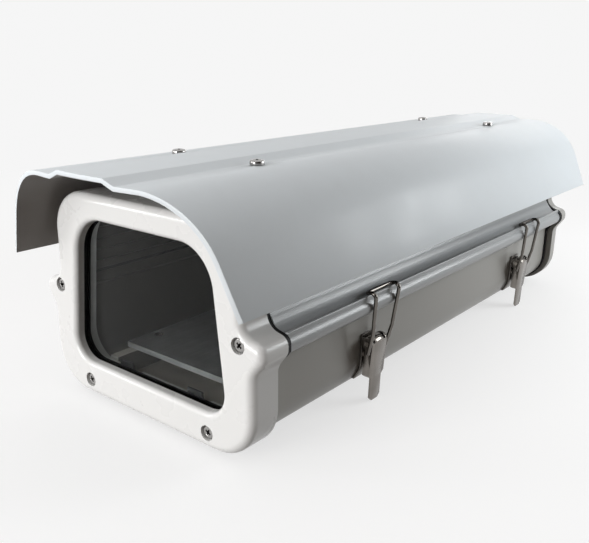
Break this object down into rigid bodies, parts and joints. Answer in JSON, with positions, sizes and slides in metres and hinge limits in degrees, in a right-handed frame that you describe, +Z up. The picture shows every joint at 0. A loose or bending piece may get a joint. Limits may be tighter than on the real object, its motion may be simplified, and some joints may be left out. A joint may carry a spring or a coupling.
{
  "type": "security camera housing",
  "caption": "Outdoor security camera housing with a white window bezel, side-opening grey lid and tray, wire bail latches, a folded sunshield and rear cable glands.",
  "frame": {"origin": "on the underside of the foot rail, at the centre of its four bracket holes", "axes": "+Z up, -Y the way the window faces, +X the latch side, the lid's hinge on the -X side"},
  "size_m": [0.158, 0.4073, 0.1265],
  "materials": {
    "white_paint": "satin",
    "shield_paint": "satin",
    "grey_paint": "satin",
    "cap_paint": "satin",
    "stainless": "brushed",
    "bright_wire": "polished",
    "black_rubber": "matte",
    "clear_glass": "polished",
    "bare_aluminium": "satin",
    "black_plastic": "matte"
  },
  "bodies": {
    "housing": {"front_bezel": "white_paint", "rear_cap": "cap_paint", "tray": "grey_paint", "window_glass": "clear_glass", "window_gasket": "black_rubber", "front_gasket": "black_rubber", "rear_gasket": "black_rubber", "right_rim_seal": "black_rubber", "left_rim_seal": "black_rubber", "glass_clips": "black_plastic", "glass_clip_screws": "stainless", "bezel_screws": "stainless", "rear_cap_screws": "stainless", "latch_rivets": "stainless", "front_pivot_pin": "stainless", "rear_pivot_pin": "stainless", "camera_plate": "bare_aluminium", "camera_plate_screws": "stainless", "front_latch_base": "stainless", "front_latch_pin": "stainless", "rear_latch_base": "stainless", "rear_latch_pin": "stainless", "right_gland_body": "black_plastic", "right_gland_nut": "black_plastic", "right_gland_seal": "black_rubber", "right_gland_locknut": "black_plastic", "left_gland_body": "black_plastic", "left_gland_nut": "black_plastic", "left_gland_seal": "black_rubber", "left_gland_locknut": "black_plastic"},
    "lid": {"lid": "grey_paint", "sunshield": "shield_paint", "sunshield_screws": "stainless", "sunshield_spacers": "bare_aluminium", "sunshield_washers": "black_rubber", "sunshield_nuts": "stainless"},
    "front_lever": {"front_latch_lever": "stainless"},
    "front_bail": {"front_latch_bail": "bright_wire"},
    "rear_lever": {"rear_latch_lever": "stainless"},
    "rear_bail": {"rear_latch_bail": "bright_wire"}
  },
  "joints": [
    {"name": "lid_hinge", "type": "hinge", "parent": "housing", "child": "lid", "pos_m": [-0.0706, 0, 0.0553], "axis": [0, -1, 0], "range_deg": [0, 100]},
    {"name": "front_lever_hinge", "type": "hinge", "parent": "housing", "child": "front_lever", "pos_m": [0.0704, -0.0845, 0.033], "axis": [0, -1, 0], "range_deg": [0, 120]},
    {"name": "front_bail_hinge", "type": "hinge", "parent": "front_lever", "child": "front_bail", "pos_m": [0.072, -0.0845, 0.0284], "axis": [0, -1, 0], "range_deg": [-126, 0]},
    {"name": "rear_lever_hinge", "type": "hinge", "parent": "housing", "child": "rear_lever", "pos_m": [0.0704, 0.1055, 0.033], "axis": [0, -1, 0], "range_deg": [0, 120]},
    {"name": "rear_bail_hinge", "type": "hinge", "parent": "rear_lever", "child": "rear_bail", "pos_m": [0.072, 0.1055, 0.0284], "axis": [0, -1, 0], "range_deg": [-126, 0]}
  ],
  "couplings": [
    {"joint": "front_bail_hinge", "follows": "front_lever_hinge", "ratio": -1.05},
    {"joint": "rear_bail_hinge", "follows": "rear_lever_hinge", "ratio": -1.05}
  ]
}
